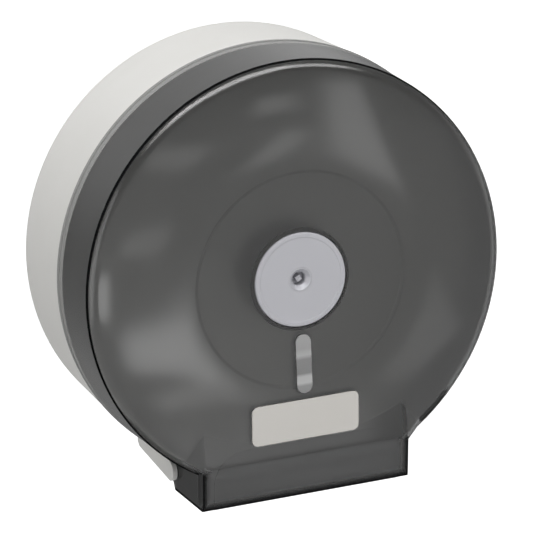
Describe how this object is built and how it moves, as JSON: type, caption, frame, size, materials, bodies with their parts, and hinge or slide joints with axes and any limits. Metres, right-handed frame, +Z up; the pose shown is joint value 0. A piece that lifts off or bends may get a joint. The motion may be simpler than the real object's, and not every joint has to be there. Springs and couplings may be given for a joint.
{
  "type": "jumbo toilet roll dispenser",
  "caption": "Round wall dispenser for a jumbo toilet roll: white back shell, smoked hinged cover with a key lock, level window, bare label plate and a chute with a tear bar.",
  "frame": {"origin": "centre of the four wall screw holes on the wall face, on the drum's axis", "axes": "+X to the right seen from the front, +Y into the wall along the drum's axis, +Z up; the wall is y = 0"},
  "size_m": [0.2718, 0.1222, 0.2749],
  "materials": {
    "white_abs": "fine-textured white ABS",
    "smoked_plastic": "smoked translucent plastic, polished",
    "grey_white_plastic": "satin light grey moulding",
    "natural_nylon": "natural nylon",
    "steel": "zinc-plated or stainless",
    "spring_steel": "dark phosphated",
    "clear_plastic": "clear moulding, frosted at the back",
    "label_white": "smooth warm white plate, left bare"
  },
  "bodies": {
    "base": {"back_shell": "white_abs", "hinge_pins": "steel", "spindle": "white_abs", "spindle_screws": "steel", "thrust_washer": "natural_nylon", "strike_plate": "steel", "strike_screws": "steel"},
    "hub": {"roll_hub": "white_abs"},
    "cover": {"front_cover": "smoked_plastic", "lock_disc": "grey_white_plastic", "disc_screws": "steel", "plug_washer": "steel", "level_window": "clear_plastic", "label_plate": "label_white", "tear_bar": "smoked_plastic"},
    "lock": {"lock_plug": "grey_white_plastic", "plug_clip": "spring_steel", "lock_cam": "steel", "cam_screw": "steel"}
  },
  "joints": [
    {"name": "cover_hinge", "type": "hinge", "parent": "base", "child": "cover", "pos_m": [0, -0.072, -0.1255], "axis": [1, 0, 0], "range_deg": [0, 100]},
    {"name": "hub_spin", "type": "hinge", "parent": "base", "child": "hub", "pos_m": [0, -0.05, 0], "axis": [0, 1, 0], "continuous": true},
    {"name": "lock_turn", "type": "hinge", "parent": "cover", "child": "lock", "pos_m": [0, -0.118, 0], "axis": [0, 1, 0], "range_deg": [0, 90]}
  ]
}
